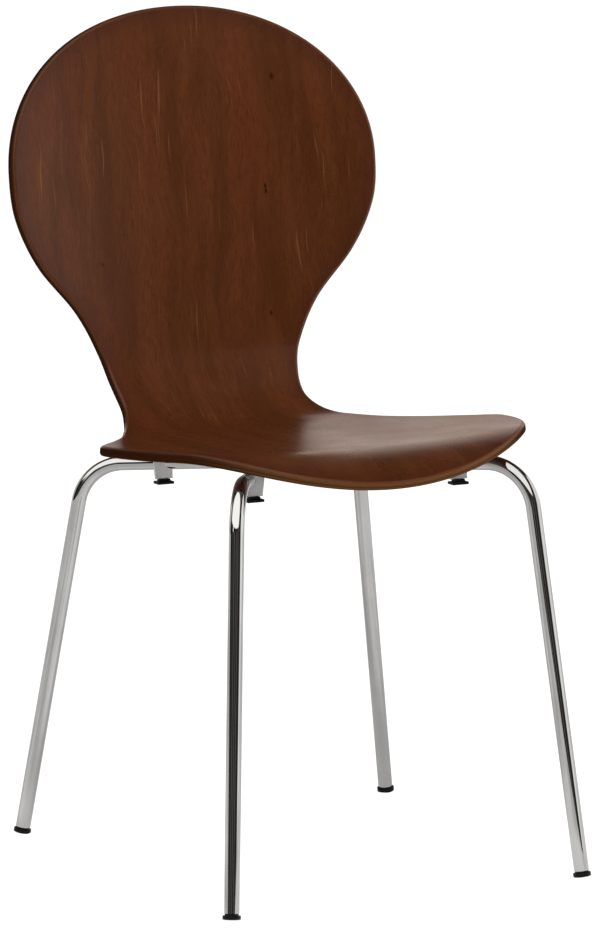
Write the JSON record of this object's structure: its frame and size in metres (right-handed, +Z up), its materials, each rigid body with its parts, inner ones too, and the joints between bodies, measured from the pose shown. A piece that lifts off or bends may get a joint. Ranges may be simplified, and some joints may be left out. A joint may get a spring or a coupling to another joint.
{
  "type": "stacking chair",
  "caption": "Stacking side chair with a one-piece moulded plywood shell, narrow waist and round back, on splayed bent steel tube legs.",
  "frame": {"origin": "on the floor, under the middle of the chair's overall width and depth, on its middle plane", "axes": "+Z up, the sitter faces -Y, +X is the sitter's left"},
  "size_m": [0.4824, 0.5566, 0.8952],
  "materials": {
    "shell": "dark walnut stain under satin lacquer",
    "chromed_steel": "bright chrome plate",
    "black_plastic": "matte black nylon",
    "zinc_steel": "bright zinc plate",
    "black_rubber": "matte"
  },
  "bodies": {
    "root": {"seat_shell": "shell", "hub_plate": "chromed_steel", "leg_tube_front_left": "chromed_steel", "leg_tube_front_right": "chromed_steel", "leg_tube_rear_left": "chromed_steel", "leg_tube_rear_right": "chromed_steel", "bracket_front_left": "chromed_steel", "bracket_front_right": "chromed_steel", "bracket_rear_left": "chromed_steel", "bracket_rear_right": "chromed_steel", "pad_front_left": "black_plastic", "pad_front_right": "black_plastic", "pad_rear_left": "black_plastic", "pad_rear_right": "black_plastic", "glide_front_left": "black_plastic", "glide_front_right": "black_plastic", "glide_rear_left": "black_plastic", "glide_rear_right": "black_plastic", "hub_inserts": "zinc_steel", "bracket_inserts": "zinc_steel", "hub_screws": "zinc_steel", "bracket_screws": "zinc_steel", "hub_washers": "zinc_steel", "bracket_washers": "zinc_steel", "hub_spacers": "black_rubber"}
  },
  "joints": []
}
